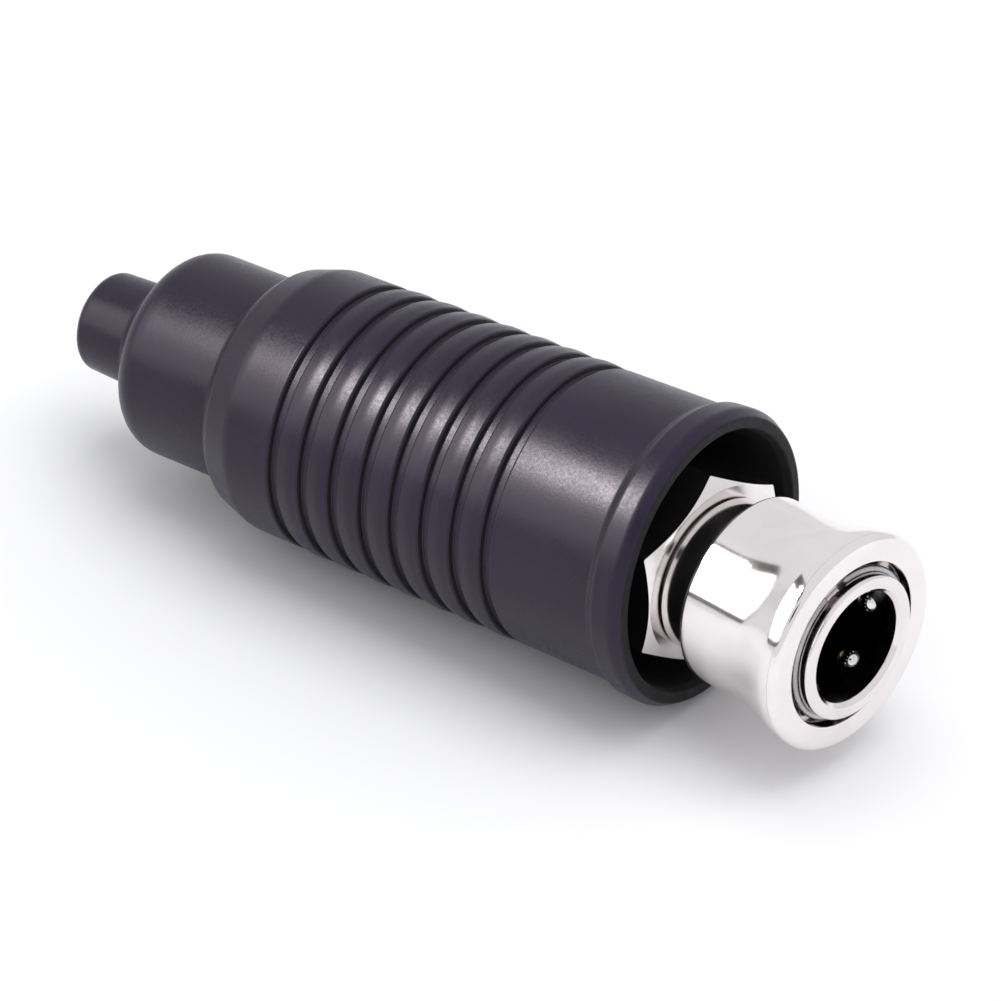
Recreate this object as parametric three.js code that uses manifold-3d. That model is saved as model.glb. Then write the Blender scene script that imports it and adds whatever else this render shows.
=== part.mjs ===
// A quick disconnect air coupler: the socket half of a 1/4 inch coupling for a 5 x 8 mm polyurethane hose,
// lying on its side with its loose rubber boot pulled back, so that the boot sits a little askew on it.
// Millimetres. +X runs along the socket's axis towards its mouth, and +Z is up. The origin is on that
// axis, where the hose leaves the nut, because the hose is what holds the coupler.
// A station, called s, is a distance behind the socket's nose face. A boot station is behind the
// boot's mouth.
import * as THREE from "three";
import { mergeVertices } from "three/addons/utils/BufferGeometryUtils.js";
import Module from "manifold-3d";

const wasm = await Module();
wasm.setup();

// ---------------------------------------------------------------- driving dimensions
const BORE_R = 7.2; // the plug's socket
const NOSE_R = 9.3; // outside of the socket body under the sleeve
const COLLAR_R = 14; // grip collar at the front of the sleeve
const WAIST_R = 12.1; // the sleeve behind its collar
const SLEEVE_FRONT_S = 1.2;
const SLEEVE_REAR_S = 17.9;
const CHAMBER_R = 11.1; // the spring's space inside the sleeve
const LAND_R = 9.8; // the sleeve's inner land, which holds the balls in
const LAND_REAR_S = 6.8;
const FLANGE_S = 16.6; // the body's flange, the rear seat of the sleeve's spring
const HEX_FRONT_S = 23.1;
const HEX_REAR_S = 34;
const HEX_ACROSS_FLATS = 23;
const NUT_FRONT_S = 38;
const NUT_REAR_S = 60;
const NUT_ACROSS_FLATS = 17;
const SHANK_R = 6.9; // the adapter's thread under the nut
const NUT_BORE_R = 7.2;
const HOSE_ENTRY_R = 4.5; // the nut's opening for the 8 mm hose

const BALL_COUNT = 6;
const BALL_R = 1.6;
const BALL_S = 5.2;
const BALL_CENTRE_R = 7.8; // at rest, standing 1 mm into the bore
const FIRST_BALL_ANGLE = THREE.MathUtils.degToRad(6); // from +Y towards +Z

const BOOT_MOUTH_S = 23.6;
const BOOT_LENGTH = 95;
const BOOT_END_R = 4.7; // the flat ring around the hose hole
const BOOT_LIP_R = 18.9;
const BOOT_LIP_STATION = 3.1;
const BOOT_HEEL_R = 17.15; // the barrel's rear edge, which rests on the floor with the lip
const BOOT_HEEL_STATION = 60;
const BOOT_DROP = 1.35; // how far the socket's axis hangs below the middle of the boot's mouth
const BOOT_YAW = THREE.MathUtils.degToRad(6); // seen from above, the boot's tail swings towards -Y
const GROOVE_COUNT = 8;
const FIRST_GROOVE_STATION = 20.9;
const GROOVE_PITCH = 4.71;
const GROOVE_WIDTH = 1.3;
const GROOVE_DEPTH = 0.75;

const GAP = 0.3; // between pieces that touch or nearly touch
const ROUND = 36; // sides of the large round pieces
const SMALL_ROUND = 24;

// The boot rests on its lip and its heel, which sets how far its mouth tips up.
const bootTilt = Math.atan((BOOT_LIP_R - BOOT_HEEL_R) / (BOOT_HEEL_STATION - BOOT_LIP_STATION));

// ---------------------------------------------------------------- finishes
const finish = (color, roughness, metalness) => ({ color, roughness, metalness });
const NICKEL = finish(0xd9dbdf, 0.18, 1);
const STEEL = finish(0xb9bcc2, 0.25, 1);
const SPRING_STEEL = finish(0x9da1a8, 0.35, 1);
const BRASS = finish(0xb9995a, 0.35, 1);
const RUBBER = finish(0x2b2b33, 0.62, 0);
const SEAL_RUBBER = finish(0x151517, 0.55, 0);

// ---------------------------------------------------------------- shapes
// A closed outline of [station, radius] points, turned about the X axis.
function turned(outline, sides = ROUND) {
  const points = outline.map(([station, radius]) => new THREE.Vector2(radius, -station));
  if (THREE.ShapeUtils.area(points) < 0) points.reverse();
  points.push(points[0].clone());
  return new THREE.LatheGeometry(points, sides).rotateZ(-Math.PI / 2);
}

// A closed ring of round section.
function torusRing(station, middleRadius, wireRadius, sides = SMALL_ROUND, sectionSides = 8) {
  const outline = [];
  for (let i = 0; i < sectionSides; i++) {
    const angle = (2 * Math.PI * i) / sectionSides;
    outline.push([station + wireRadius * Math.cos(angle), middleRadius + wireRadius * Math.sin(angle)]);
  }
  return turned(outline, sides);
}

// A six-sided bar with one corner straight up, turned off at its ends by 30 degree chamfers.
function hexBar(frontS, rearS, acrossFlats) {
  const cornerR = acrossFlats / Math.sqrt(3);
  const faceR = acrossFlats / 2 - 0.2;
  const chamfer = (cornerR - faceR) * Math.tan(Math.PI / 6);
  const bar = new THREE.CylinderGeometry(cornerR, cornerR, rearS - frontS, 6)
    .rotateZ(-Math.PI / 2)
    .translate(-(frontS + rearS) / 2, 0, 0);
  const turnedOff = turned([
    [frontS, 0],
    [frontS, faceR],
    [frontS + chamfer, cornerR],
    [rearS - chamfer, cornerR],
    [rearS, faceR],
    [rearS, 0],
  ]);
  return solid(bar).intersect(solid(turnedOff));
}

// A wire of round section along a helix about the X axis, from one station to another.
class Helix extends THREE.Curve {
  constructor(frontS, rearS, radius, turns) {
    super();
    Object.assign(this, { frontS, rearS, radius, turns });
  }
  getPoint(t, target = new THREE.Vector3()) {
    const angle = 2 * Math.PI * this.turns * t;
    const station = this.frontS + (this.rearS - this.frontS) * t;
    return target.set(-station, this.radius * Math.cos(angle), this.radius * Math.sin(angle));
  }
}

function wireAlong(path, wireRadius, steps, sides = 6) {
  const section = new THREE.Shape();
  for (let i = 0; i < sides; i++) {
    const angle = (2 * Math.PI * i) / sides;
    const point = [wireRadius * Math.cos(angle), wireRadius * Math.sin(angle)];
    if (i === 0) section.moveTo(...point);
    else section.lineTo(...point);
  }
  section.closePath();
  return new THREE.ExtrudeGeometry(section, { steps, extrudePath: path, bevelEnabled: false });
}

// Cuts and joins. A closed geometry becomes a solid, and a solid becomes a geometry again.
function solid(geometry) {
  const bare = geometry.clone();
  bare.deleteAttribute("normal");
  bare.deleteAttribute("uv");
  const merged = mergeVertices(bare, 1e-4);
  return new wasm.Manifold(
    new wasm.Mesh({
      numProp: 3,
      vertProperties: new Float32Array(merged.attributes.position.array),
      triVerts: new Uint32Array(merged.index.array),
    }),
  );
}

function geometryOf(body) {
  const mesh = body.getMesh();
  const geometry = new THREE.BufferGeometry();
  geometry.setAttribute("position", new THREE.BufferAttribute(mesh.vertProperties, 3));
  geometry.setIndex(new THREE.BufferAttribute(mesh.triVerts, 1));
  geometry.computeVertexNormals();
  return geometry;
}

function ballAngle(index) {
  return FIRST_BALL_ANGLE + (2 * Math.PI * index) / BALL_COUNT;
}

// ---------------------------------------------------------------- the socket and its internals
// The front body: nose, ball holes, seal groove, conical valve seat, spring flange and rear thread.
function socketBody() {
  const body = turned([
    [0, BORE_R + 0.55],
    [0, NOSE_R - 0.35],
    [0.35, NOSE_R],
    [1.3, NOSE_R],
    [1.3, NOSE_R - 0.7],
    [2.5, NOSE_R - 0.7],
    [2.5, NOSE_R],
    [FLANGE_S, NOSE_R],
    [FLANGE_S, CHAMBER_R - GAP],
    [FLANGE_S + 1, CHAMBER_R - GAP],
    [FLANGE_S + 1, 9.8],
    [HEX_FRONT_S - GAP, 9.8],
    [HEX_FRONT_S - GAP, 9],
    [28.6, 9],
    [28.6, 7.6],
    [19.7, 7.6],
    [17.9, 5.9],
    [15.9, 5.9],
    [15.9, 8],
    [13.1, 8],
    [13.1, BORE_R],
    [0.55, BORE_R],
  ]);
  let cut = solid(body);
  for (let i = 0; i < BALL_COUNT; i++) {
    // A tapered hole: it is narrower than the ball where it opens into the bore.
    const hole = new THREE.CylinderGeometry(1.99, 1.49, 3.3, 14)
      .translate(0, 8.25, 0)
      .rotateX(ballAngle(i))
      .translate(-BALL_S, 0, 0);
    cut = cut.subtract(solid(hole));
  }
  return geometryOf(cut);
}

// The sleeve: a flared grip collar in front, a ramp and land over the balls, and the spring's chamber behind.
function lockSleeve() {
  return turned([
    [SLEEVE_FRONT_S, 10.7],
    [SLEEVE_FRONT_S, COLLAR_R - 1.9],
    [SLEEVE_FRONT_S + 0.5, COLLAR_R - 0.8],
    [SLEEVE_FRONT_S + 1.4, COLLAR_R - 0.1],
    [SLEEVE_FRONT_S + 2.3, COLLAR_R],
    [4.6, COLLAR_R - 0.2],
    [8.4, WAIST_R + 0.55],
    [10.6, WAIST_R + 0.05],
    [SLEEVE_REAR_S - 0.4, WAIST_R],
    [SLEEVE_REAR_S, WAIST_R - 0.4],
    [SLEEVE_REAR_S, CHAMBER_R],
    [LAND_REAR_S, CHAMBER_R],
    [LAND_REAR_S, LAND_R],
    [3.85, LAND_R],
    [2.75, 10.7],
  ]);
}

function sleeveSpring() {
  const wire = 0.45;
  const path = new Helix(LAND_REAR_S + GAP + wire, FLANGE_S - GAP - wire, 10.4, 3.5);
  return wireAlong(path, wire, 49);
}

// A round-wire snap ring with a gap near its top, in the groove behind the nose.
function snapRing() {
  const middleR = 9.5;
  const split = THREE.MathUtils.degToRad(24);
  const splitMiddle = THREE.MathUtils.degToRad(108); // from +Y towards +Z
  const ring = new Helix(1.9, 1.9, middleR, 1 - split / (2 * Math.PI));
  return wireAlong(ring, 0.5, 32).rotateX(splitMiddle + split / 2);
}

function lockingBall(index) {
  const ball = new THREE.SphereGeometry(BALL_R, 12, 8).translate(0, BALL_CENTRE_R, 0);
  return ball.rotateX(ballAngle(index)).translate(-BALL_S, 0, 0);
}

// The packing that seals on the plug's tip, with a soft inner lip.
function plugSeal() {
  return turned(
    [
      [13.4, 6.3],
      [13.4, 7.7],
      [15.6, 7.7],
      [15.6, 5.9],
      [15.2, 5.6],
      [14.6, 5.6],
    ],
    SMALL_ROUND,
  );
}

// The valve: a front boss that the plug pushes, a groove for its seal, a flange for its spring, and a stem.
function valvePoppet() {
  return turned(
    [
      [17.2, 0],
      [17.2, 2.6],
      [16.4, 3.2],
      [16.4, 5.2],
      [16.7, 5.5],
      [18.35, 5.5],
      [18.35, 4.75],
      [20.45, 4.75],
      [20.45, 6.9],
      [21.7, 6.9],
      [21.7, 3.4],
      [23.2, 3.4],
      [23.2, 1.9],
      [32, 1.9],
      [32.4, 1.5],
      [32.4, 0],
    ],
    SMALL_ROUND,
  );
}

function valveSpring() {
  const wire = 0.35;
  return wireAlong(new Helix(21.7 + GAP + wire, 30.4 - GAP - wire, 4.3, 4), wire, 48);
}

// The disc that guides the valve's stem, with a ring of air holes.
function valveGuide() {
  const airHoles = 6;
  const frontS = 30.4;
  const rearS = 31.6;
  const disc = turned(
    [
      [frontS, 2.2],
      [frontS, 7.1],
      [rearS, 7.1],
      [rearS, 2.2],
    ],
    SMALL_ROUND,
  );
  let cut = solid(disc);
  for (let i = 0; i < airHoles; i++) {
    const hole = new THREE.CylinderGeometry(0.9, 0.9, 3, 10)
      .rotateZ(-Math.PI / 2)
      .translate(-(frontS + rearS) / 2, 5.5, 0)
      .rotateX((2 * Math.PI * i) / airHoles);
    cut = cut.subtract(solid(hole));
  }
  return geometryOf(cut);
}

// The rear body: hexagon, threaded shank and a barbed tail for the hose.
function hexAdapter() {
  const barbs = 3;
  const barbPitch = 3;
  const firstBarbS = 49;
  const tail = [
    [HEX_REAR_S - 1, 0],
    [HEX_REAR_S - 1, SHANK_R - 0.6],
    [HEX_REAR_S + 1.2, SHANK_R - 0.6],
    [HEX_REAR_S + 1.8, SHANK_R],
    [47.4, SHANK_R],
    [48, SHANK_R - 0.6],
    [48, 2.5],
  ];
  for (let i = 0; i < barbs; i++) {
    const start = firstBarbS + barbPitch * i;
    tail.push([start, 2.5], [start, 3], [start + barbPitch - 0.4, 2.5]);
  }
  tail.push([58.2, 2.2], [58.2, 0]);
  const bore = [
    [HEX_FRONT_S - 1, 0],
    [HEX_FRONT_S - 1, 9.3],
    [30.2, 9.3],
    [30.2, 7.4],
    [31.9, 7.4],
    [31.9, 6.6],
    [32.6, 6.6],
    [34.6, 3.6],
    [38.5, 3.6],
    [40, 1.7],
    [60, 1.7],
    [60, 0],
  ];
  const outside = hexBar(HEX_FRONT_S, HEX_REAR_S, HEX_ACROSS_FLATS).add(solid(turned(tail)));
  return geometryOf(outside.subtract(solid(turned(bore, SMALL_ROUND))));
}

// The hose nut: a long hexagon whose inner cone closes the ferrule on the hose.
function capNut() {
  const bore = [
    [NUT_FRONT_S - 1, 0],
    [NUT_FRONT_S - 1, NUT_BORE_R],
    [49.6, NUT_BORE_R],
    [55.6, 5.4],
    [57.4, HOSE_ENTRY_R],
    [NUT_REAR_S + 1, HOSE_ENTRY_R],
    [NUT_REAR_S + 1, 0],
  ];
  const hexagon = hexBar(NUT_FRONT_S, NUT_REAR_S, NUT_ACROSS_FLATS);
  return geometryOf(hexagon.subtract(solid(turned(bore, SMALL_ROUND))));
}

function clampFerrule() {
  return turned(
    [
      [48.4, 4.2],
      [48.4, 6.3],
      [49, 6.6],
      [54.6, 5.1],
      [54.6, 4.2],
    ],
    SMALL_ROUND,
  );
}

// ---------------------------------------------------------------- the boot
// A stepped rubber sleeve: beaded lip, grooved barrel, hub, and a nub that the hose passes through.
function protectiveBoot() {
  const barrelR = (station) => BOOT_HEEL_R + (BOOT_HEEL_STATION - station) * 0.0155;
  const outer = [
    [0, 17.1],
    [0, 17.9],
    [0.6, 18.5],
    [1.8, BOOT_LIP_R - 0.1],
    [BOOT_LIP_STATION, BOOT_LIP_R],
    [4.2, BOOT_LIP_R - 0.25],
    [5, barrelR(5)],
  ];
  for (let i = 0; i < GROOVE_COUNT; i++) {
    const middle = FIRST_GROOVE_STATION + GROOVE_PITCH * i;
    outer.push([middle - GROOVE_WIDTH / 2, barrelR(middle)]);
    outer.push([middle, barrelR(middle) - GROOVE_DEPTH]);
    outer.push([middle + GROOVE_WIDTH / 2, barrelR(middle)]);
  }
  outer.push([BOOT_HEEL_STATION, BOOT_HEEL_R]);
  const shoulder = [
    [63.5, 16.4],
    [65.6, 15.3],
    [67.2, 13.9],
    [68.4, 13.35],
  ];
  const hub = [
    [78.8, 13.3],
    [81.4, 12.6],
    [83.5, 11.3],
    [85.3, 9.3],
    [86.4, 7.3],
    [87.6, 6.7],
  ];
  const nub = [
    [92.3, 6.5],
    [94, 5.9],
    [BOOT_LENGTH, BOOT_END_R],
    [BOOT_LENGTH, 4.1],
  ];
  const inner = [
    [85.4, 4.1],
    [84, 6.4],
    [82, 9],
    [79.5, 10.3],
    [67, 10.5],
    [64.6, 13.2],
    [61.6, 15],
    [1.2, 16.4],
    [0.3, 16.7],
  ];
  return turned([...outer, ...shoulder, ...hub, ...nub, ...inner]);
}

// ---------------------------------------------------------------- assembly
function piece(name, geometry, look) {
  const mesh = new THREE.Mesh(geometry, new THREE.MeshStandardMaterial(look));
  mesh.name = name;
  return mesh;
}

const coupler = new THREE.Group(); // its own origin is the middle of the nose face
coupler.add(
  piece("socket_body", socketBody(), STEEL),
  piece("lock_sleeve", lockSleeve(), NICKEL),
  piece("sleeve_spring", sleeveSpring(), SPRING_STEEL),
  piece("snap_ring", snapRing(), SPRING_STEEL),
  piece("plug_seal", plugSeal(), SEAL_RUBBER),
  piece("valve_poppet", valvePoppet(), BRASS),
  piece("valve_seal", torusRing(19.4, 5.75, 0.72), SEAL_RUBBER),
  piece("valve_spring", valveSpring(), SPRING_STEEL),
  piece("valve_guide", valveGuide(), BRASS),
  piece("body_o_ring", torusRing(29.4, 8.35, 0.5), SEAL_RUBBER),
  piece("hex_adapter", hexAdapter(), NICKEL),
  piece("clamp_ferrule", clampFerrule(), BRASS),
  piece("cap_nut", capNut(), NICKEL),
);
for (let i = 0; i < BALL_COUNT; i++) coupler.add(piece(`locking_ball_${i + 1}`, lockingBall(i), STEEL));

const boot = new THREE.Group(); // its own origin is the middle of its mouth
boot.position.set(-BOOT_MOUTH_S, 0, BOOT_DROP);
boot.rotation.set(0, -bootTilt, BOOT_YAW, "ZYX");
boot.add(piece("protective_boot", protectiveBoot(), RUBBER));

const assembly = new THREE.Group();
assembly.add(coupler, boot);
assembly.position.set(NUT_REAR_S, 0, 0);

const group = new THREE.Group();
group.add(assembly);

export default group;
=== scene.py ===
import math

import bmesh
import bpy
from mathutils import Matrix, Vector


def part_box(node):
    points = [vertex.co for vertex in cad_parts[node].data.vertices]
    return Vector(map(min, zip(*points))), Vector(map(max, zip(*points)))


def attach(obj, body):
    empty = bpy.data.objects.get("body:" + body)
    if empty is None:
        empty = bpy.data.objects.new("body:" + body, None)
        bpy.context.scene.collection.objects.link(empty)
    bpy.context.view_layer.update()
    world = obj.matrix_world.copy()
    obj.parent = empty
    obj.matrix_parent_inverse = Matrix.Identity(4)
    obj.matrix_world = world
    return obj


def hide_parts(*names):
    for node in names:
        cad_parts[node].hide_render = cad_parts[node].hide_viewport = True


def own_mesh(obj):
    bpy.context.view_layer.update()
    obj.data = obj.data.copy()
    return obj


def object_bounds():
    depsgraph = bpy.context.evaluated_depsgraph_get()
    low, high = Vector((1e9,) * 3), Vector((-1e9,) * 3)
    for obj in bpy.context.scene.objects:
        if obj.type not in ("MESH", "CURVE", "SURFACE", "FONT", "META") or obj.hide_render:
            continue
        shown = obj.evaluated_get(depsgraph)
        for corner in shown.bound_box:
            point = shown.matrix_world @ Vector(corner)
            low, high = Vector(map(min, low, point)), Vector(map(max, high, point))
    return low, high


# The looks of a quick disconnect air coupler, lying in its loose rubber boot.
# Profiles are in millimetres. A station is a distance behind the socket's nose, or behind the boot's mouth.
# A profile's corner is (station, radius, fillet).

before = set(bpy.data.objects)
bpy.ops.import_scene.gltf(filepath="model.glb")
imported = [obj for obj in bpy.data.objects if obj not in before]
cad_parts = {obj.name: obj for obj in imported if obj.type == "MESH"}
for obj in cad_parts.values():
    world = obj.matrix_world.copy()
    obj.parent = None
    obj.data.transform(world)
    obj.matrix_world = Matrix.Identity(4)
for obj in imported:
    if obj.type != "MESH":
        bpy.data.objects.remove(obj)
cad_low, cad_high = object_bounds()

MM = 0.001

# ---------------------------------------------------------------- places, taken from the frame
body_low, body_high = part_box("socket_body")
NOSE = Vector((body_high.x, (body_low.y + body_high.y) / 2, (body_low.z + body_high.z) / 2))
COUPLER = Matrix.Translation(NOSE)

# The boot lies on its lip and on the rear of its barrel, which tips it.
LIP_S = 3.1
LIP_R = 18.9
BARREL_REAR_S = 60
BARREL_REAR_R = 17.15
BOOT_MOUTH_S = 23.6
BOOT_RISE = 1.35
BOOT_YAW = math.radians(6)
BOOT_TILT = math.atan((LIP_R - BARREL_REAR_R) / (BARREL_REAR_S - LIP_S))
BOOT = (
    Matrix.Translation(NOSE + Vector((-BOOT_MOUTH_S, 0, BOOT_RISE)) * MM)
    @ Matrix.Rotation(BOOT_YAW, 4, "Z")
    @ Matrix.Rotation(-BOOT_TILT, 4, "Y")
)

BALL_COUNT = 6
BALL_R = 1.6
BALL_S = 5.2
BALL_CENTRE_R = 7.8
FIRST_BALL_ANGLE = math.radians(6)

# ---------------------------------------------------------------- profiles
FILLET_STEPS = 5
FINE_ROUND = 192  # steps round the large pieces
SMALL_ROUND = 120  # and round the small ones
MOST_OF_HALF = 0.47  # how far along a side a fillet may reach, so that two fillets never meet
AXIS_R = 1e-6  # a profile point nearer the axis than this is on it


def corner_arc(before, corner, after, fillet):
    """The points that stand for one filleted corner: an arc, with a holding point on each side of it."""
    p = Vector(corner)
    to_before = Vector(before) - p
    to_after = Vector(after) - p
    half = to_before.angle(to_after) / 2
    room = MOST_OF_HALF * min(to_before.length, to_after.length)
    reach = min(fillet / math.tan(half), room)
    radius = reach * math.tan(half)
    a, b = to_before.normalized(), to_after.normalized()
    centre = p + (a + b).normalized() * (radius / math.sin(half))
    start, end = p + a * reach - centre, p + b * reach - centre
    turn = math.pi - 2 * half
    if start.x * end.y - start.y * end.x < 0:
        turn = -turn
    arc = []
    for i in range(FILLET_STEPS + 1):
        t = turn * i / FILLET_STEPS
        c, s = math.cos(t), math.sin(t)
        arc.append(centre + Vector((c * start.x - s * start.y, s * start.x + c * start.y)))
    hold = min(0.3 * reach, 0.06 * to_before.length, 0.06 * to_after.length)
    return [arc[0] + a * hold, *arc, arc[-1] + b * hold]


def rounded(corners, closed=True):
    """A profile from (station, radius, fillet) corners. A corner with no fillet stays sharp."""
    points = []
    count = len(corners)
    for i, (station, radius, fillet) in enumerate(corners):
        inside = closed or 0 < i < count - 1
        if fillet and inside:
            before, after = corners[i - 1][:2], corners[(i + 1) % count][:2]
            points += corner_arc(before, (station, radius), after, fillet)
        else:
            points.append(Vector((station, radius)))
    return points


def even_angles(count):
    return [2 * math.pi * i / count for i in range(count)]


def turned_mesh(profile, angles, closed=True):
    """Vertices and faces of a profile turned about the X axis.

    The profile is a list of points, or a function that gives them for an angle.
    """
    vertices, faces, rings = [], [], []
    poles = {}
    for angle in angles:
        points = profile(angle) if callable(profile) else profile
        ring = []
        for j, (station, radius) in enumerate(points):
            if radius < AXIS_R:
                if j not in poles:
                    poles[j] = len(vertices)
                    vertices.append(Vector((-station, 0, 0)) * MM)
                ring.append(poles[j])
                continue
            ring.append(len(vertices))
            vertices.append(Vector((-station, radius * math.cos(angle), radius * math.sin(angle))) * MM)
        rings.append(ring)
    size = len(rings[0])
    for i, ring in enumerate(rings):
        following = rings[(i + 1) % len(rings)]
        for j in range(size if closed else size - 1):
            k = (j + 1) % size
            face = [ring[j], ring[k], following[k], following[j]]
            face = [v for n, v in enumerate(face) if v != face[n - 1]]
            if len(face) > 2:
                faces.append(face)
    return vertices, faces


def circle_profile(station, middle_r, section_r, steps=20):
    """The round section of an O-ring."""
    points = []
    for i in range(steps):
        t = 2 * math.pi * i / steps
        points.append(Vector((station + section_r * math.cos(t), middle_r + section_r * math.sin(t))))
    return points


def wire_mesh(centres, radials, wire_r, sides=14, end_steps=4):
    """A round wire along centres, in millimetres. Each end is a half ball."""
    centres = [Vector(c) for c in centres]
    rows = []
    last = len(centres) - 1
    for i, centre in enumerate(centres):
        along = (centres[min(i + 1, last)] - centres[max(i - 1, 0)]).normalized()
        out = (Vector(radials[i]) - along * Vector(radials[i]).dot(along)).normalized()
        side = along.cross(out)
        rows.append((centre, along, out, side, wire_r))
    head, tail = [], []
    for i in range(1, end_steps):
        t = math.pi / 2 * i / end_steps
        for rows_at_end, source, sign in ((head, rows[0], -1), (tail, rows[-1], 1)):
            centre, along, out, side, _ = source
            centre_at_t = centre + along * (sign * wire_r * math.sin(t))
            rows_at_end.append((centre_at_t, along, out, side, wire_r * math.cos(t)))
    rows = head[::-1] + rows + tail
    vertices, faces = [], []
    for centre, _, out, side, radius in rows:
        for k in range(sides):
            t = 2 * math.pi * k / sides
            vertices.append((centre + (out * math.cos(t) + side * math.sin(t)) * radius) * MM)
    for i in range(len(rows) - 1):
        for k in range(sides):
            m = (k + 1) % sides
            faces.append([i * sides + k, i * sides + m, (i + 1) * sides + m, (i + 1) * sides + k])
    for row, sign in ((0, -1), (len(rows) - 1, 1)):
        centre, along, *_ = rows[row]
        source = rows[end_steps - 1] if sign < 0 else rows[-end_steps]
        pole = len(vertices)
        vertices.append((source[0] + along * (sign * wire_r)) * MM)
        for k in range(sides):
            faces.append([row * sides + k, row * sides + (k + 1) % sides, pole])
    return vertices, faces


CLOSED_PITCH = 2.08  # the pitch of a spring's closed end turns, in wire radii


def spring_path(front_s, rear_s, radius, turns, wire_r, closed_turns=0.8, steps_per_turn=56):
    """A compression spring's centreline, with its end turns closed down on themselves."""
    total = turns + 2 * closed_turns
    count = int(total * steps_per_turn)
    pitch_closed = CLOSED_PITCH * wire_r
    open_length = rear_s - front_s - 2 * closed_turns * pitch_closed
    centres, radials = [], []
    for i in range(count + 1):
        turn = total * i / count
        in_front = min(turn, closed_turns)
        in_open = min(max(turn - closed_turns, 0), turns)
        in_rear = max(turn - closed_turns - turns, 0)
        station = front_s + (in_front + in_rear) * pitch_closed + open_length * in_open / turns
        angle = 2 * math.pi * turn
        radial = Vector((0, math.cos(angle), math.sin(angle)))
        centres.append(Vector((-station, 0, 0)) + radial * radius)
        radials.append(radial)
    return centres, radials


# ---------------------------------------------------------------- pieces
SHARP_ANGLE = math.radians(32)
SAME_PLACE = 1e-7


def tidy_mesh(mesh):
    """Joins double vertices, turns the faces outwards and shades smooth all but the sharp edges."""
    work = bmesh.new()
    work.from_mesh(mesh)
    bmesh.ops.remove_doubles(work, verts=work.verts, dist=SAME_PLACE)
    bmesh.ops.recalc_face_normals(work, faces=work.faces)
    work.to_mesh(mesh)
    work.free()
    mesh.shade_smooth()
    mesh.set_sharp_from_angle(angle=SHARP_ANGLE)


def piece(name, shape, place, look, body, node):
    """One mesh in the row frame that rides on a body and stands for a CAD node."""
    vertices, faces = shape
    mesh = bpy.data.meshes.new(name)
    mesh.from_pydata([place @ v for v in vertices], [], faces)
    made = bpy.data.objects.new(name, mesh)
    bpy.context.scene.collection.objects.link(made)
    tidy_mesh(mesh)
    mesh.materials.append(look)
    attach(made, body)
    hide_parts(node)
    return made


def cut(target, shapes, place):
    """Takes each closed shape away from a piece."""
    for vertices, faces in shapes:
        mesh = bpy.data.meshes.new("cutter")
        mesh.from_pydata([place @ v for v in vertices], [], faces)
        cutter = bpy.data.objects.new("cutter", mesh)
        bpy.context.scene.collection.objects.link(cutter)
        tidy_mesh(mesh)
        change = target.modifiers.new("cut", "BOOLEAN")
        change.operation = "DIFFERENCE"
        change.solver = "EXACT"
        change.object = cutter
        bpy.context.view_layer.update()
        evaluated = target.evaluated_get(bpy.context.evaluated_depsgraph_get())
        target.data = bpy.data.meshes.new_from_object(evaluated)
        target.modifiers.clear()
        bpy.data.objects.remove(cutter)
    tidy_mesh(target.data)


def cone_shape(low_r, high_r, low, high, place, sides=48):
    """A closed cone frustum along Z, in millimetres, moved by a matrix that is in millimetres too."""
    vertices, faces = [], []
    for height, radius in ((low, low_r), (high, high_r)):
        for i in range(sides):
            t = 2 * math.pi * i / sides
            vertices.append(place @ Vector((radius * math.cos(t), radius * math.sin(t), height)) * MM)
    for i in range(sides):
        k = (i + 1) % sides
        faces.append([i, k, sides + k, sides + i])
    faces.append(list(range(sides))[::-1])
    faces.append(list(range(sides, 2 * sides)))
    return vertices, faces


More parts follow.
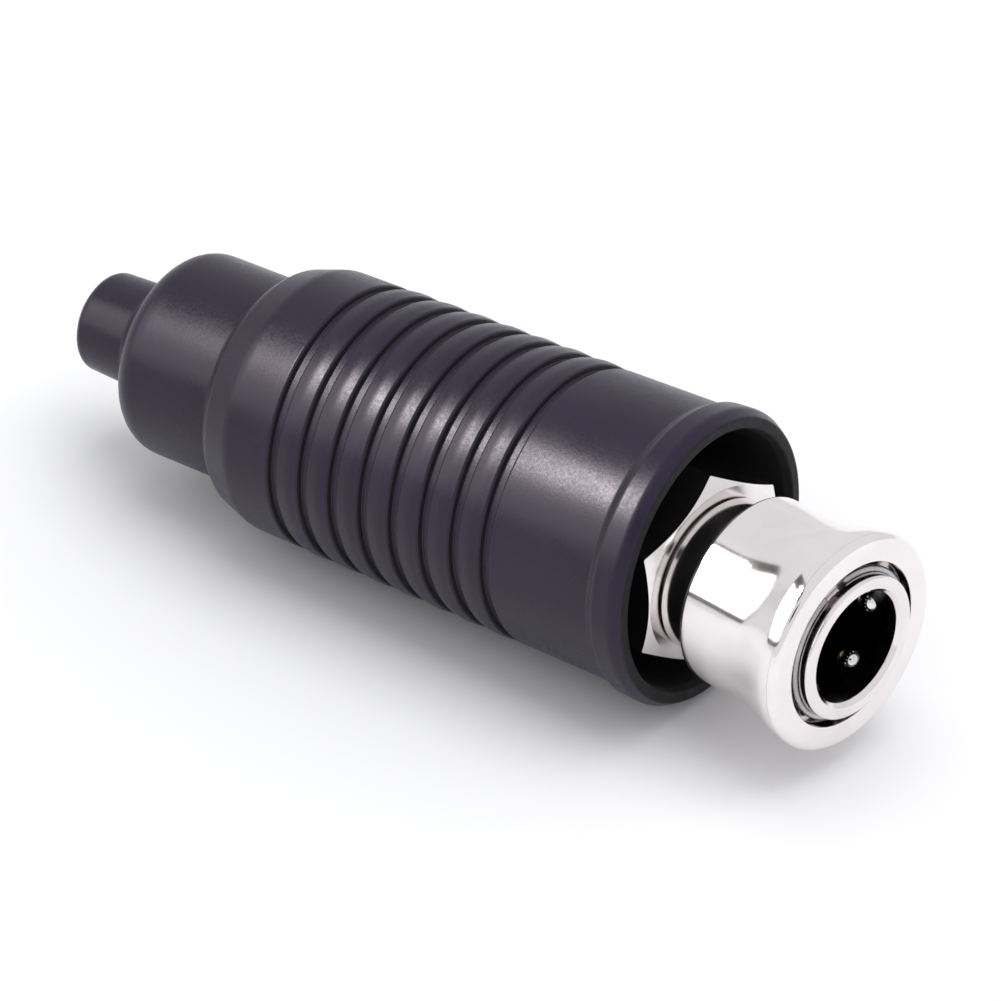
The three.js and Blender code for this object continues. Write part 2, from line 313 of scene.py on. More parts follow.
# ---------------------------------------------------------------- materials
class Look:
    """A node material round one Principled shader. Its coordinates are the row frame's, in metres."""

    def __init__(self, name, **values):
        self.material = bpy.data.materials.new(name)
        self.material.use_nodes = True
        self.tree = self.material.node_tree
        self.shader = self.tree.nodes["Principled BSDF"]
        for socket, value in values.items():
            self.shader.inputs[socket.replace("_", " ")].default_value = value
        self.place = self.node("ShaderNodeTexCoord").outputs["Object"]
        self.normal = None

    def node(self, kind, settings=None, **inputs):
        made = self.tree.nodes.new(kind)
        for key, value in (settings or {}).items():
            setattr(made, key, value)
        for key, value in inputs.items():
            socket = made.inputs[key.replace("_", " ")]
            if isinstance(value, bpy.types.NodeSocket):
                self.tree.links.new(value, socket)
            else:
                socket.default_value = value
        return made

    def maths(self, operation, *values):
        made = self.tree.nodes.new("ShaderNodeMath")
        made.operation = operation
        for socket, value in zip(made.inputs, values):
            if isinstance(value, bpy.types.NodeSocket):
                self.tree.links.new(value, socket)
            else:
                socket.default_value = value
        return made.outputs[0]

    def noise(self, scale, detail=2.0, roughness=0.5, vector=None, distortion=0.0):
        made = self.node("ShaderNodeTexNoise", Vector=vector or self.place, Scale=scale, Detail=detail)
        made.inputs["Roughness"].default_value = roughness
        made.inputs["Distortion"].default_value = distortion
        return made.outputs["Fac"]

    def stretched(self, x, y, z):
        """The coordinates, scaled along each axis, for grain that runs one way."""
        return self.node("ShaderNodeMapping", Vector=self.place, Scale=(x, y, z)).outputs["Vector"]

    def turning(self, lines_per_mm, detail=3.0):
        """Fine rings about the socket's axis, round its cylinders and on its faces alike."""
        from_nose = self.node("ShaderNodeVectorMath", {"operation": "SUBTRACT"})
        self.tree.links.new(self.place, from_nose.inputs[0])
        from_nose.inputs[1].default_value = NOSE
        parts = self.node("ShaderNodeSeparateXYZ", Vector=from_nose.outputs[0])
        squares = self.maths(
            "ADD",
            self.maths("MULTIPLY", parts.outputs["Y"], parts.outputs["Y"]),
            self.maths("MULTIPLY", parts.outputs["Z"], parts.outputs["Z"]),
        )
        along = self.maths("MULTIPLY_ADD", self.maths("SQRT", squares), 1.37, parts.outputs["X"])
        rings = self.node("ShaderNodeTexNoise", {"noise_dimensions": "1D"}, W=along)
        rings.inputs["Scale"].default_value = lines_per_mm * 1000
        rings.inputs["Detail"].default_value = detail
        return rings.outputs["Fac"]

    def ramp(self, factor, *stops):
        """A colour ramp from (position, colour) stops."""
        made = self.node("ShaderNodeValToRGB", Fac=factor)
        elements = made.color_ramp.elements
        while len(elements) < len(stops):
            elements.new(0.5)
        for element, (position, colour) in zip(elements, stops):
            element.position = position
            element.color = (*colour, 1)
        return made.outputs["Color"]

    def spread(self, factor, low, high, start=0.3, end=0.7):
        """A noise, whose middle run from start to end is spread from low to high."""
        made = self.node("ShaderNodeMapRange", Value=factor)
        for key, value in (("From Min", start), ("From Max", end), ("To Min", low), ("To Max", high)):
            made.inputs[key].default_value = value
        return made.outputs["Result"]

    def bump(self, height, depth_mm, strength=1.0):
        made = self.node("ShaderNodeBump", Height=height, Strength=strength, Distance=depth_mm * MM)
        if self.normal:
            self.tree.links.new(self.normal, made.inputs["Normal"])
        self.normal = made.outputs["Normal"]

    def done(self, **sources):
        for socket, source in sources.items():
            self.tree.links.new(source, self.shader.inputs[socket.replace("_", " ")])
        if self.normal:
            self.tree.links.new(self.normal, self.shader.inputs["Normal"])
        return self.material


def boot_rubber():
    """Moulded charcoal rubber: a satin skin with a fine matt grain, faint cloudiness and rubbed patches."""
    look = Look(
        "boot_rubber",
        Metallic=0.0,
        IOR=1.5,
        Specular_IOR_Level=0.35,
        Specular_Tint=(0.95, 0.86, 1.0, 1.0),
    )
    cloud = look.noise(55, detail=4, roughness=0.6)
    grain = look.noise(2600, detail=2, roughness=0.6)
    rubbed = look.noise(180, detail=5, roughness=0.65, distortion=0.4)
    colour = look.ramp(
        cloud,
        (0.3, (0.0098, 0.0062, 0.0190)),
        (0.52, (0.0125, 0.0084, 0.0230)),
        (0.75, (0.0158, 0.0112, 0.0275)),
    )
    roughness = look.maths("ADD", look.spread(rubbed, 0.29, 0.37), look.spread(grain, -0.05, 0.06))
    look.bump(look.noise(320, detail=2), 0.02, 0.4)
    look.bump(grain, 0.016, 0.6)
    return look.done(Base_Color=colour, Roughness=roughness)


def boot_inside_painted_shade():
    """The boot's unpolished inside, painted nearly black as painted shade, with moulding dust and streaks
    along it.
    """
    look = Look("boot_inside_painted_shade", Metallic=0.0, IOR=1.45)
    streaks = look.noise(1.0, detail=4, vector=look.stretched(60, 700, 700))
    grain = look.noise(1900, detail=3, roughness=0.6)
    colour = look.ramp(streaks, (0.3, (0.0022, 0.0018, 0.0030)), (0.75, (0.0050, 0.0042, 0.0062)))
    look.bump(grain, 0.02, 0.7)
    return look.done(Base_Color=colour, Roughness=look.spread(streaks, 0.62, 0.78))


def plated(name, dark, light, smooth, rough, lines=9, line_depth=0.0012):
    """Bright nickel plating over turned steel: rings too fine to count, and a faint film of handling."""
    look = Look(name, Metallic=1.0, IOR=1.5)
    film = look.noise(140, detail=5, roughness=0.6, distortion=0.8)
    rings = look.turning(lines)
    specks = look.noise(5200, detail=1)
    colour = look.ramp(film, (0.3, dark), (0.7, light))
    roughness = look.maths(
        "ADD", look.spread(film, rough, smooth), look.spread(rings, -0.015, 0.02)
    )
    look.bump(rings, line_depth, 0.8)
    look.bump(specks, 0.0008, 0.5)
    return look.done(Base_Color=colour, Roughness=roughness)


def plated_bar():
    """Bright nickel plating over drawn hexagon bar, with its draw lines running along the flats."""
    look = Look("plated_hex", Metallic=1.0, IOR=1.5)
    drawn = look.noise(1.0, detail=4, vector=look.stretched(160, 5200, 5200))
    film = look.noise(170, detail=5, roughness=0.6, distortion=0.8)
    colour = look.ramp(film, (0.3, (0.80, 0.76, 0.755)), (0.7, (0.88, 0.84, 0.835)))
    roughness = look.maths("ADD", look.spread(film, 0.2, 0.11), look.spread(drawn, -0.02, 0.03))
    look.bump(drawn, 0.0022, 0.8)
    return look.done(Base_Color=colour, Roughness=roughness)


def bore_steel_painted_shade():
    """The bore: steel under a film of oil, coloured dark as painted shade for the deep bore."""
    look = Look("bore_steel_painted_shade", Metallic=1.0, IOR=1.5)
    rings = look.turning(5)
    oil = look.noise(420, detail=4, distortion=1.2)
    colour = look.ramp(oil, (0.3, (0.016, 0.014, 0.017)), (0.7, (0.035, 0.031, 0.034)))
    look.bump(rings, 0.003, 0.7)
    return look.done(Base_Color=colour, Roughness=look.spread(oil, 0.24, 0.4))


def drawn_wire():
    """Drawn spring wire: grey steel with a faint oxide scale in patches."""
    look = Look("spring_steel", Metallic=1.0, IOR=1.5)
    scale = look.noise(900, detail=5, roughness=0.7)
    patches = look.noise(260, detail=3)
    colour = look.ramp(patches, (0.3, (0.36, 0.35, 0.36)), (0.7, (0.56, 0.55, 0.56)))
    look.bump(scale, 0.004, 0.6)
    return look.done(Base_Color=colour, Roughness=look.spread(scale, 0.2, 0.38))


def bearing_steel():
    """Ground bearing steel, almost a mirror under a film of oil."""
    look = Look("ball_steel", Metallic=1.0, IOR=1.5)
    film = look.noise(900, detail=4, distortion=1.0)
    colour = look.ramp(film, (0.3, (0.70, 0.69, 0.69)), (0.7, (0.84, 0.83, 0.83)))
    look.bump(look.noise(4000, detail=2), 0.0008, 0.5)
    return look.done(Base_Color=colour, Roughness=look.spread(film, 0.05, 0.12))


def turned_brass():
    """Turned brass, tarnished unevenly."""
    look = Look("brass", Metallic=1.0, IOR=1.5)
    rings = look.turning(7)
    tarnish = look.noise(300, detail=5, roughness=0.65, distortion=0.6)
    colour = look.ramp(
        tarnish, (0.3, (0.44, 0.29, 0.11)), (0.55, (0.62, 0.45, 0.19)), (0.8, (0.72, 0.55, 0.26))
    )
    look.bump(rings, 0.004, 0.8)
    return look.done(Base_Color=colour, Roughness=look.spread(tarnish, 0.3, 0.18))


def nitrile():
    """Smooth black nitrile rubber with a dull bloom."""
    look = Look("seal_rubber", Metallic=0.0, IOR=1.5)
    bloom = look.noise(500, detail=5, roughness=0.65)
    colour = look.ramp(bloom, (0.3, (0.010, 0.010, 0.011)), (0.75, (0.022, 0.021, 0.023)))
    look.bump(look.noise(3600, detail=3), 0.006, 0.5)
    return look.done(Base_Color=colour, Roughness=look.spread(bloom, 0.3, 0.5))


RUBBER = boot_rubber()
# painted shade: a near-black copy of the rubber for the boot's inside and the rim of its mouth
INSIDE_SHADE = boot_inside_painted_shade()
SLEEVE_PLATE = plated("plated_sleeve", (0.83, 0.785, 0.78), (0.90, 0.86, 0.855), 0.075, 0.13)
BODY_PLATE = plated(
    "plated_body", (0.78, 0.74, 0.735), (0.86, 0.82, 0.815), 0.09, 0.16, lines=6, line_depth=0.002
)
BAR_PLATE = plated_bar()
BORE = bore_steel_painted_shade()
WIRE = drawn_wire()
BALL = bearing_steel()
BRASS = turned_brass()
SEAL = nitrile()

# ---------------------------------------------------------------- the socket body
BODY_R = 9.3
BORE_R = 7.2
RING_GROOVE_R = 8.6
FLANGE_R = 10.8
COLLAR_R = 9.8
SPIGOT_R = 9.0
VALVE_CHAMBER_R = 7.6
VALVE_SEAT_R = 5.9
SEAL_GROOVE_R = 8.0
body_profile = rounded([
    # the nose, with the snap ring's groove behind it
    (0, 7.75, 0.15),
    (0, BODY_R, 0.4),
    (1.4, BODY_R, 0.08),
    (1.4, RING_GROOVE_R, 0.15),
    (2.4, RING_GROOVE_R, 0.15),
    (2.4, BODY_R, 0.08),
    # the flange that the sleeve's spring stands on, the collar and the spigot in the adapter
    (16.6, BODY_R, 0.2),
    (16.6, FLANGE_R, 0.15),
    (17.6, FLANGE_R, 0.15),
    (17.6, COLLAR_R, 0.2),
    (22.8, COLLAR_R, 0.15),
    (22.8, SPIGOT_R, 0.1),
    (28.6, SPIGOT_R, 0.2),
    # forwards inside: the valve's chamber and seat, the plug seal's groove, the bore and its lead-in
    (28.6, VALVE_CHAMBER_R, 0.15),
    (19.7, VALVE_CHAMBER_R, 0.2),
    (17.9, VALVE_SEAT_R, 0.2),
    (15.9, VALVE_SEAT_R, 0.1),
    (15.9, SEAL_GROOVE_R, 0.15),
    (13.1, SEAL_GROOVE_R, 0.15),
    (13.1, BORE_R, 0.1),
    (0.55, BORE_R, 0.2),
])
socket = piece(
    "coupler_socket_body",
    turned_mesh(body_profile, even_angles(FINE_ROUND)),
    COUPLER,
    BODY_PLATE,
    "coupler_body",
    "socket_body",
)


def ball_angle(index):
    return FIRST_BALL_ANGLE + 2 * math.pi * index / BALL_COUNT


# Each ball's hole narrows inwards, so that the ball can't fall into the bore.
holes = []
for i in range(BALL_COUNT):
    radial = (
        Matrix.Translation((-BALL_S, 0, 0))
        @ Matrix.Rotation(ball_angle(i), 4, "X")
        @ Matrix.Rotation(-math.pi / 2, 4, "X")
    )
    holes.append(cone_shape(low_r=1.47, high_r=1.99, low=6.55, high=9.95, place=radial, sides=96))
cut(socket, holes, COUPLER)

# The bore behind the nose's lead-in gets oiled steel coloured dark: painted shade for the deep bore.
BORE_START_S = 0.75
BORE_MAX_R = 8.2
socket.data.materials.append(BORE)
for face in socket.data.polygons:
    from_nose = face.center - NOSE
    if -from_nose.x > BORE_START_S * MM and math.hypot(from_nose.y, from_nose.z) < BORE_MAX_R * MM:
        face.material_index = 1

# ---------------------------------------------------------------- the sleeve, its spring and its snap ring
SLEEVE_FRONT_S = 1.2
SLEEVE_REAR_S = 17.9
GRIP_R = 14.0
WAIST_R = 12.1
RECESS_R = 10.7
BALL_LAND_R = 9.8
SPRING_ROOM_R = 11.1
sleeve_profile = rounded([
    # the grip's front corner, the long flare and the waist
    (SLEEVE_FRONT_S, RECESS_R, 0.12),
    (SLEEVE_FRONT_S, GRIP_R, 1.9),
    (3.2, GRIP_R, 6.0),
    (9.6, WAIST_R + 0.02, 22.0),
    (SLEEVE_REAR_S, WAIST_R, 0.4),
    # forwards inside: room for the spring, the land on the balls, and the recess that lets them out
    (SLEEVE_REAR_S, SPRING_ROOM_R, 0.15),
    (6.8, SPRING_ROOM_R, 0.25),
    (6.8, BALL_LAND_R, 0.2),
    (3.85, BALL_LAND_R, 0.3),
    (2.75, RECESS_R, 0.3),
])
piece(
    "coupler_lock_sleeve",
    turned_mesh(sleeve_profile, even_angles(FINE_ROUND)),
    COUPLER,
    SLEEVE_PLATE,
    "sleeve",
    "lock_sleeve",
)

SLEEVE_SPRING_WIRE_R = 0.45
sleeve_spring_path = spring_path(
    front_s=7.55, rear_s=15.85, radius=10.4, turns=2.6, wire_r=SLEEVE_SPRING_WIRE_R
)
sleeve_spring = piece(
    "coupler_sleeve_spring",
    wire_mesh(*sleeve_spring_path, SLEEVE_SPRING_WIRE_R),
    COUPLER,
    WIRE,
    "coupler_body",
    "sleeve_spring",
)
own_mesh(sleeve_spring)

RING_S = 1.9
RING_R = 9.5
RING_WIRE_R = 0.48
RING_GAP = math.radians(24)
RING_GAP_MIDDLE = math.radians(108)
RING_STEPS = 150
ring_centres, ring_radials = [], []
for i in range(RING_STEPS + 1):
    t = RING_GAP_MIDDLE + RING_GAP / 2 + (2 * math.pi - RING_GAP) * i / RING_STEPS
    radial = Vector((0, math.cos(t), math.sin(t)))
    ring_centres.append(Vector((-RING_S, 0, 0)) + radial * RING_R)
    ring_radials.append(radial)
piece(
    "coupler_snap_ring",
    wire_mesh(ring_centres, ring_radials, RING_WIRE_R, sides=16),
    COUPLER,
    WIRE,
    "coupler_body",
    "snap_ring",
)

for i in range(BALL_COUNT):
    work = bmesh.new()
    bmesh.ops.create_icosphere(work, subdivisions=4, radius=BALL_R)
    angle = ball_angle(i)
    centre = Vector((-BALL_S, BALL_CENTRE_R * math.cos(angle), BALL_CENTRE_R * math.sin(angle)))
    ball_shape = (
        [(v.co + centre) * MM for v in work.verts],
        [[v.index for v in f.verts] for f in work.faces],
    )
    work.free()
    piece(
        f"coupler_locking_ball_{i + 1}",
        ball_shape,
        COUPLER,
        BALL,
        f"ball_{i + 1}",
        f"locking_ball_{i + 1}",
    )

# ---------------------------------------------------------------- seals and valve
plug_seal_profile = rounded([
    # the back in its groove, then the lip that grips the plug
    (13.4, 6.3, 0.15),
    (13.4, 7.7, 0.2),
    (15.6, 7.7, 0.2),
    (15.6, 5.9, 0.12),
    (15.2, 5.6, 0.15),
    (14.6, 5.6, 0.2),
])
piece(
    "coupler_plug_seal",
    turned_mesh(plug_seal_profile, even_angles(SMALL_ROUND)),
    COUPLER,
    SEAL,
    "coupler_body",
    "plug_seal",
)
piece(
    "coupler_body_o_ring",
    turned_mesh(circle_profile(station=29.4, middle_r=8.35, section_r=0.5), even_angles(SMALL_ROUND)),
    COUPLER,
    SEAL,
    "coupler_body",
    "body_o_ring",
)
piece(
    "coupler_valve_seal",
    turned_mesh(circle_profile(station=19.4, middle_r=5.75, section_r=0.71), even_angles(SMALL_ROUND)),
    COUPLER,
    SEAL,
    "valve",
    "valve_seal",
)
poppet_profile = rounded(
    [
        # the head, dished in the middle, which the plug pushes
        (17.2, 0, 0),
        (17.2, 2.6, 0.2),
        (16.4, 3.2, 0.2),
        (16.4, 5.2, 0.15),
        (16.7, 5.5, 0.15),
        # the seal's groove, the flange behind it, and the hub inside the spring
        (18.35, 5.5, 0.1),
        (18.35, 4.75, 0.1),
        (20.45, 4.75, 0.1),
        (20.45, 6.9, 0.15),
        (21.7, 6.9, 0.15),
        (21.7, 3.4, 0.15),
        (23.2, 3.4, 0.15),
        # the stem
        (23.2, 1.9, 0.1),
        (32, 1.9, 0.15),
        (32.4, 1.5, 0.15),
        (32.4, 0, 0),
    ],
    closed=False,
)
piece(
    "coupler_valve_poppet",
    turned_mesh(poppet_profile, even_angles(SMALL_ROUND), closed=False),
    COUPLER,
    BRASS,
    "valve",
    "valve_poppet",
)
VALVE_SPRING_WIRE_R = 0.35
valve_spring_path = spring_path(
    front_s=22.35, rear_s=29.75, radius=4.3, turns=3.2, wire_r=VALVE_SPRING_WIRE_R
)
valve_spring = piece(
    "coupler_valve_spring",
    wire_mesh(*valve_spring_path, VALVE_SPRING_WIRE_R),
    COUPLER,
    WIRE,
    "coupler_body",
    "valve_spring",
)
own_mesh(valve_spring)
guide = piece(
    "coupler_valve_guide",
    turned_mesh(
        rounded([(30.4, 2.2, 0.1), (30.4, 7.1, 0.15), (31.6, 7.1, 0.15), (31.6, 2.2, 0.1)]),
        even_angles(SMALL_ROUND),
    ),
    COUPLER,
    BRASS,
    "coupler_body",
    "valve_guide",
)
AIR_HOLE_COUNT = 6
AIR_HOLE_S = 31
AIR_HOLE_RING_R = 5.5
AIR_HOLE_R = 0.9
air_holes = []
for i in range(AIR_HOLE_COUNT):
    t = 2 * math.pi * i / AIR_HOLE_COUNT
    centre = (-AIR_HOLE_S, AIR_HOLE_RING_R * math.cos(t), AIR_HOLE_RING_R * math.sin(t))
    through = Matrix.Translation(centre) @ Matrix.Rotation(math.pi / 2, 4, "Y")
    air_holes.append(cone_shape(AIR_HOLE_R, AIR_HOLE_R, low=-2, high=2, place=through, sides=32))
cut(guide, air_holes, COUPLER)

# ---------------------------------------------------------------- hexagons
ADAPTER_FLATS = 23
NUT_FLATS = 17
CORNER_ROUND = 0.35
CORNER_STEPS = (-1.3, -1, -0.6, -0.2, 0.2, 0.6, 1, 1.3)  # in half widths of the rounded corner
FLAT_STEPS = 24


def hexagon_angles(across_flats):
    """Angles from +Y towards +Z that follow a six-sided bar, with one corner straight up."""
    apothem = across_flats / 2
    corner_centre = (apothem - CORNER_ROUND) / math.cos(math.pi / 6)
    edge = math.asin(min(1, CORNER_ROUND * math.sin(math.pi / 6) / corner_centre))
    angles = []
    for corner in range(6):
        middle = math.pi / 2 + corner * math.pi / 3
        angles += [middle + edge * f for f in CORNER_STEPS]
        start = middle + edge * CORNER_STEPS[-1]
        end = middle + math.pi / 3 - edge * CORNER_STEPS[-1]
        angles += [start + (end - start) * k / FLAT_STEPS for k in range(1, FLAT_STEPS)]
    return angles


def hexagon_radius(angle, across_flats):
    """How far the bar reaches at an angle."""
    apothem = across_flats / 2
    from_corner = abs((angle - math.pi / 2 + math.pi / 6) % (math.pi / 3) - math.pi / 6)
    from_flat = math.pi / 6 - from_corner
    if apothem * math.tan(from_flat) <= (apothem - CORNER_ROUND) * math.tan(math.pi / 6):
        return apothem / math.cos(from_flat)
    centre = (apothem - CORNER_ROUND) / math.cos(math.pi / 6)
    reach = centre * math.sin(from_corner)
    return centre * math.cos(from_corner) + math.sqrt(max(CORNER_ROUND**2 - reach**2, 0))


def hexagon_corners(angle, front_s, rear_s, across_flats):
    """The outside of a hexagon bar at one angle, turned off at 30 degrees at both ends."""
    radius = hexagon_radius(angle, across_flats)
    face_r = across_flats / 2 - 0.2
    chamfer = (radius - face_r) * math.tan(math.pi / 6)
    return [
        (front_s, face_r, 0.1),
        (front_s + chamfer, radius, 0.12),
        (rear_s - chamfer, radius, 0.12),
        (rear_s, face_r, 0.1),
    ]


THREAD_PITCH = 1.0
THREAD_DEPTH = 0.45
THREAD_FADE = 1.0
THREAD_FLANK = 2.2  # how steeply a flank rises, in depths for each half pitch
THREAD_ROOT = 0.1  # takes the flanks down to a narrow flat root


def thread_rows(angle, start_s, end_s, crest_r, step=0.125):
    """A screw thread's outline at one angle, which fades out at both ends."""
    rows = []
    count = int(round((end_s - start_s) / step))
    for i in range(count + 1):
        station = start_s + (end_s - start_s) * i / count
        phase = (station / THREAD_PITCH + angle / (2 * math.pi)) % 1
        height = max(0.0, min(1.0, THREAD_FLANK * abs(phase - 0.5) - THREAD_ROOT))
        fade = min(1.0, (station - start_s) / THREAD_FADE, (end_s - station) / THREAD_FADE)
        rows.append((station, crest_r - THREAD_DEPTH * (1 - height) * fade, 0))
    return rows


ADAPTER_FRONT_S = 23.1
ADAPTER_SOCKET_R = 9.3
SHANK_R = 6.9
SHANK_NECK_R = 6.3
TAIL_R = 2.5
TAIL_BORE_R = 1.7
BARB_R = 3.0
BARB_COUNT = 3
BARB_PITCH = 3
FIRST_BARB_S = 49


def adapter_profile(angle):
    """The hexagon, the threaded shank and the barbed tail, and back through the air's way inside."""
    corners = [(ADAPTER_FRONT_S, ADAPTER_SOCKET_R, 0.15)]
    corners += hexagon_corners(angle, ADAPTER_FRONT_S, 34, ADAPTER_FLATS)
    corners += [(34, SHANK_NECK_R, 0.25), (35.2, SHANK_NECK_R, 0.1), (35.8, SHANK_R, 0)]
    corners += thread_rows(angle, 36, 47.2, SHANK_R)
    corners += [(48, SHANK_NECK_R, 0.1), (48, TAIL_R, 0.2)]
    for i in range(BARB_COUNT):
        start = FIRST_BARB_S + BARB_PITCH * i
        corners += [(start, TAIL_R, 0), (start, BARB_R, 0.06), (start + 2.6, TAIL_R, 0)]
    corners += [(58.2, 2.2, 0.1), (58.2, TAIL_BORE_R, 0.1)]
    corners += [
        (40, TAIL_BORE_R, 0.3),
        (38.5, 3.6, 0.3),
        (34.6, 3.6, 0.3),
        (32.6, 6.6, 0.2),
        (31.9, 6.6, 0.1),
        (31.9, 7.4, 0.1),
        (30.2, 7.4, 0.1),
        (30.2, ADAPTER_SOCKET_R, 0.15),
    ]
    return rounded(corners)


piece(
    "coupler_hex_adapter",
    turned_mesh(adapter_profile, hexagon_angles(ADAPTER_FLATS)),
    COUPLER,
    BAR_PLATE,
    "coupler_body",
    "hex_adapter",
)


NUT_FRONT_S = 38
NUT_REAR_S = 60
NUT_BORE_R = 7.2
HOSE_HOLE_R = 4.5


def nut_profile(angle):
    """The hose nut: a hexagon outside, and a bore that closes down on the ferrule and the hose."""
    corners = [(NUT_FRONT_S, NUT_BORE_R, 0.3)]
    corners += hexagon_corners(angle, NUT_FRONT_S, NUT_REAR_S, NUT_FLATS)
    corners += [
        (NUT_REAR_S, HOSE_HOLE_R, 0.35),
        (57.4, HOSE_HOLE_R, 0.2),
        (55.6, 5.4, 0.2),
        (49.6, NUT_BORE_R, 0.2),
    ]
    return rounded(corners)


piece(
    "coupler_cap_nut",
    turned_mesh(nut_profile, hexagon_angles(NUT_FLATS)),
    COUPLER,
    BAR_PLATE,
    "nut",
    "cap_nut",
)
FERRULE_BORE_R = 4.2
FERRULE_GROOVE_R = 4.45
ferrule_corners = [
    (48.4, FERRULE_BORE_R, 0.1),
    (48.4, 6.3, 0.15),
    (49, 6.6, 0.2),
    (54.6, 5.1, 0.2),
    (54.6, FERRULE_BORE_R, 0.1),
    # two gripping grooves inside
    (53.4, FERRULE_BORE_R, 0.08),
    (53.1, FERRULE_GROOVE_R, 0.08),
    (52.8, FERRULE_BORE_R, 0.08),
    (51.4, FERRULE_BORE_R, 0.08),
    (51.1, FERRULE_GROOVE_R, 0.08),
    (50.8, FERRULE_BORE_R, 0.08),
]
piece(
    "coupler_clamp_ferrule",
    turned_mesh(rounded(ferrule_corners), even_angles(SMALL_ROUND)),
    COUPLER,
    BRASS,
    "coupler_body",
    "clamp_ferrule",
)

# ---------------------------------------------------------------- the boot
BARREL_TAPER = 0.0155
GROOVE_COUNT = 8
FIRST_GROOVE_S = 20.9
GROOVE_PITCH = 4.71
GROOVE_HALF_MOUTH = 0.76
GROOVE_HALF_FLOOR = 0.5
GROOVE_DEPTH = 0.75
GROOVE_EDGE_DROP = 0.04
CROWN_RISE = 0.14  # of each rib between two grooves
HOSE_HOLE_IN_BOOT_R = 4.1


def barrel_r(station):
    return BARREL_REAR_R + (BARREL_REAR_S - station) * BARREL_TAPER


boot_corners = [
    # the beaded lip round the mouth
    (0, 16.75, 0.3),
    (0, 18.1, 0.7),
    (1.4, LIP_R, 1.6),
    (4.1, 18.75, 1.0),
    (5.3, barrel_r(5.3), 0.9),
]
for i in range(GROOVE_COUNT):
    middle = FIRST_GROOVE_S + GROOVE_PITCH * i
    if i:
        crown = middle - GROOVE_PITCH / 2
        boot_corners.append((crown, barrel_r(crown) + CROWN_RISE, 5.0))
    edge_r = barrel_r(middle)
    boot_corners += [
        (middle - GROOVE_HALF_MOUTH, edge_r - GROOVE_EDGE_DROP, 0.4),
        (middle - GROOVE_HALF_FLOOR, edge_r - GROOVE_DEPTH, 0.16),
        (middle + GROOVE_HALF_FLOOR, edge_r - GROOVE_DEPTH, 0.16),
        (middle + GROOVE_HALF_MOUTH, edge_r - GROOVE_EDGE_DROP, 0.4),
    ]
boot_corners += [
    # the shoulder, the hub and the nub
    (61.4, 17.1, 4.0),
    (65.5, 15.8, 1.4),
    (66.4, 15.1, 0.4),
    (67.5, 13.32, 0.7),
    (81.6, 13.25, 3.9),
    (86.3, 6.75, 1.2),
    (93.9, 6.45, 1.3),
    (95, 5.0, 0.5),
    # forwards inside: the hose hole, the hub's hollow and the barrel's
    (95, HOSE_HOLE_IN_BOOT_R, 0.3),
    (85.4, HOSE_HOLE_IN_BOOT_R, 0.4),
    (84, 6.4, 0.5),
    (82, 9, 0.8),
    (79.5, 10.3, 1.0),
    (67, 10.5, 1.0),
    (64.6, 13.2, 1.0),
    (61.6, 15, 1.0),
    (1.2, 16.4, 0.6),
]
boot = piece(
    "coupler_protective_boot",
    turned_mesh(rounded(boot_corners), even_angles(FINE_ROUND)),
    BOOT,
    RUBBER,
    "boot",
    "protective_boot",
)

# The inward faces and the rim of the mouth get the near-black rubber, as painted shade. The rim is what faces
# forwards at least this much.
MOUTH_FACE_SLOPE = 0.8
boot.data.materials.append(INSIDE_SHADE)
boot_axis = BOOT.to_3x3() @ Vector((1, 0, 0))
for face in boot.data.polygons:
    from_mouth = face.center - BOOT.translation
    outward = from_mouth - boot_axis * from_mouth.dot(boot_axis)
    facing_in = face.normal.dot(outward) < 0 and -from_mouth.dot(boot_axis) > 0
    if facing_in or face.normal.dot(boot_axis) > MOUTH_FACE_SLOPE:
        face.material_index = 1

# ---------------------------------------------------------------- studio
TARGET = (cad_low + cad_high) / 2


def flat_look(name, colour, strength=None):
    """A matt colour for the studio, or a light of that colour if it has a strength."""
    made = bpy.data.materials.new(name)
    made.use_nodes = True
    tree = made.node_tree
    shader = tree.nodes["Principled BSDF"]
    shader.inputs["Base Color"].default_value = (*colour, 1)
    shader.inputs["Roughness"].default_value = 0.9
    shader.inputs["Specular IOR Level"].default_value = 0.0
    if strength is not None:
        shader.inputs["Base Color"].default_value = (0, 0, 0, 1)
        shader.inputs["Emission Color"].default_value = (*colour, 1)
        shader.inputs["Emission Strength"].default_value = strength
    return made


def card(name, corners, look, lit=True, mirrored=True):
    """A flat studio card, unseen by the camera. It lights matt surfaces, is mirrored, or both."""
    mesh = bpy.data.meshes.new(name)
    mesh.from_pydata([tuple(c) for c in corners], [], [list(range(len(corners)))])
    made = bpy.data.objects.new(name, mesh)
    bpy.context.scene.collection.objects.link(made)
    mesh.materials.append(look)
    made.visible_camera = False
    made.visible_shadow = False
    made.visible_diffuse = lit
    made.visible_glossy = mirrored


def facing_card(name, direction, distance, up_hint, corners, look, lit=True, mirrored=True):
    """A card square to a direction from the object. Its corners are (across, up), in metres."""
    outward = Vector(direction).normalized()
    across = outward.cross(Vector(up_hint)).normalized()
    up = across.cross(outward).normalized()
    centre = TARGET + outward * distance
    card(name, [centre + across * a + up * b for a, b in corners], look, lit, mirrored)


def rectangle(half_width, half_height):
    return [
        (-half_width, -half_height),
        (half_width, -half_height),
        (half_width, half_height),
        (-half_width, half_height),
    ]


FLOOR_HALF = 3.0
FLOOR_GAP = 0.0002
floor_mesh = bpy.data.meshes.new("studio_floor")
floor_mesh.from_pydata([(a, b, 0) for a, b in rectangle(FLOOR_HALF, FLOOR_HALF)], [], [[0, 1, 2, 3]])
floor = bpy.data.objects.new("studio_floor", floor_mesh)
bpy.context.scene.collection.objects.link(floor)
floor.location.z = cad_low.z - FLOOR_GAP
floor_mesh.materials.append(flat_look("studio_floor", (0.93, 0.93, 0.935)))

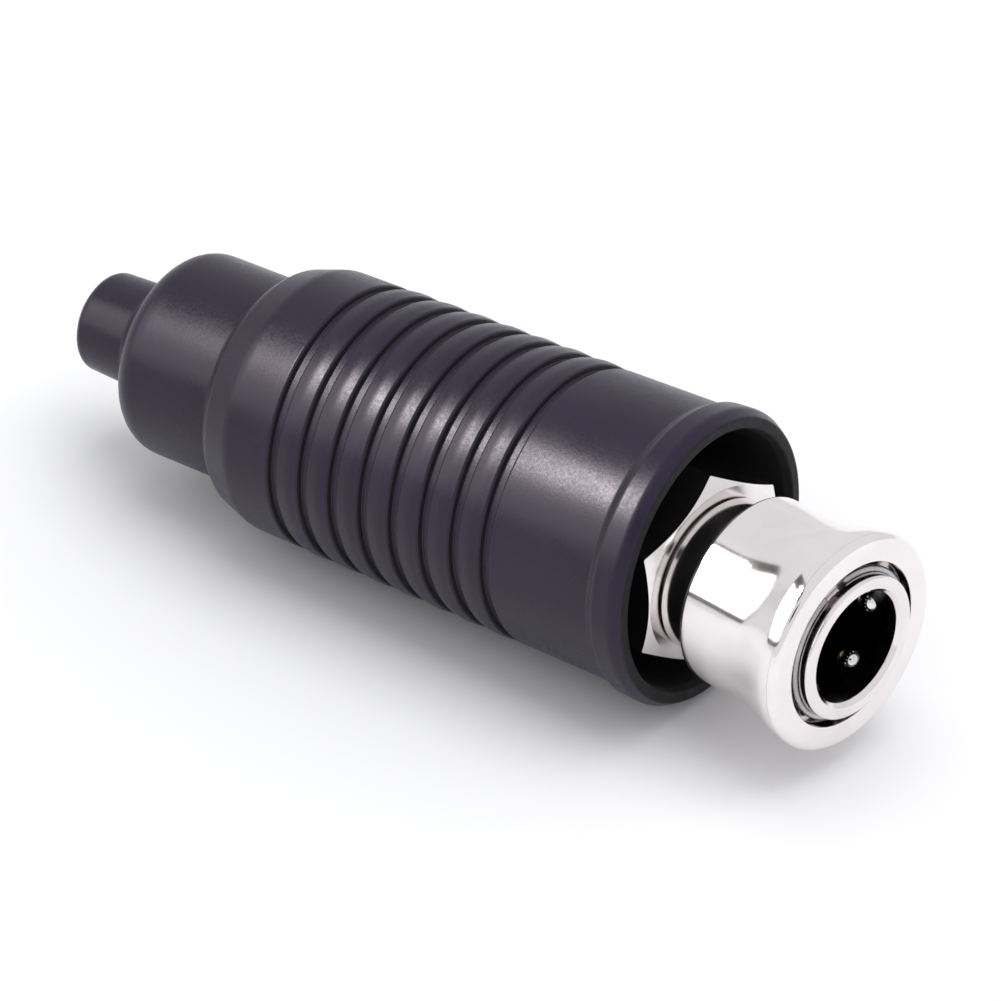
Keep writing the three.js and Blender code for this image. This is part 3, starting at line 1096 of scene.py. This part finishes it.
world = bpy.data.worlds.new("studio")
bpy.context.scene.world = world
world.use_nodes = True
background = world.node_tree.nodes["Background"]
background.inputs["Color"].default_value = (0.97, 0.975, 1.0, 1)
background.inputs["Strength"].default_value = 0.85

# The softbox at the left and behind, seen only as a reflection, on its wider dark frame.
BOX_OUT = (-0.649, -0.5225, 0.5528)
BOX_UP = (0, 0.727, 0.686)
BOX_DISTANCE = 0.62
BOX_CORNERS = [(-0.5, -0.50), (0.205, -0.31), (0.235, 0.20), (-0.5, 0.05)]
FRAME_CORNERS = [(-0.6, -0.63), (0.233, -0.375), (0.265, 0.31), (-0.6, 0.21)]
SOFTBOX = flat_look("softbox", (1.0, 0.985, 0.975), 2.6)
FRAME = flat_look("softbox_frame", (1.0, 0.97, 1.0), 0.12)
BLACK = flat_look("black_card", (0.004, 0.004, 0.004))
facing_card("softbox", BOX_OUT, BOX_DISTANCE, BOX_UP, BOX_CORNERS, SOFTBOX, lit=False)
facing_card("softbox_frame", BOX_OUT, BOX_DISTANCE + 0.004, BOX_UP, FRAME_CORNERS, FRAME, lit=False)

# A small bright strip, nearer, which the boot's ribs and its front band catch.
STRIP_OUT = (-0.403, -0.5035, 0.768)
STRIP_DISTANCE = 0.25
STRIP_CORNERS = [(-0.05, -0.03), (0.02, -0.05), (0.02, 0.045), (-0.05, 0.022)]
STRIP = flat_look("strip", (1.0, 1.0, 0.93), 38.0)
facing_card("strip", STRIP_OUT, STRIP_DISTANCE, BOX_UP, STRIP_CORNERS, STRIP, lit=False)

# A wide soft light overhead, for the matt surfaces.
OVERHEAD = flat_look("overhead", (1, 1, 1), 2.8)
facing_card("overhead", (0.15, 0.1, 1), 1.1, (0, 1, 0), rectangle(0.5, 0.4), OVERHEAD, mirrored=False)

# ---------------------------------------------------------------- camera
AZIMUTH = math.radians(43)
ELEVATION = math.radians(33.5)
ROLL = math.radians(0.85)
DISTANCE = 0.954
FRAMING = (0.00226, -0.00554, 0)  # puts the middle of the object's outline in the middle of the picture
toward = Vector((
    math.sin(AZIMUTH) * math.cos(ELEVATION),
    -math.cos(AZIMUTH) * math.cos(ELEVATION),
    math.sin(ELEVATION),
))
camera_data = bpy.data.cameras.new("camera")
camera_data.sensor_width = 36
camera_data.lens = 281
camera_data.clip_start = 0.01
camera_data.clip_end = 20
camera = bpy.data.objects.new("camera", camera_data)
bpy.context.scene.collection.objects.link(camera)
camera.rotation_mode = "QUATERNION"
aim = (-toward).to_track_quat("-Z", "Y") @ Matrix.Rotation(ROLL, 3, "Z").to_quaternion()
camera.rotation_quaternion = aim
camera.location = TARGET + toward * DISTANCE + aim @ Vector(FRAMING)
bpy.context.scene.camera = camera

# The dark room round the camera, which the rounded metal edges reflect.
facing_card("camera_side", toward, 1.05, (0, 0, 1), rectangle(0.16, 0.14), BLACK, lit=False)

bpy.context.scene.view_settings.view_transform = "Standard"
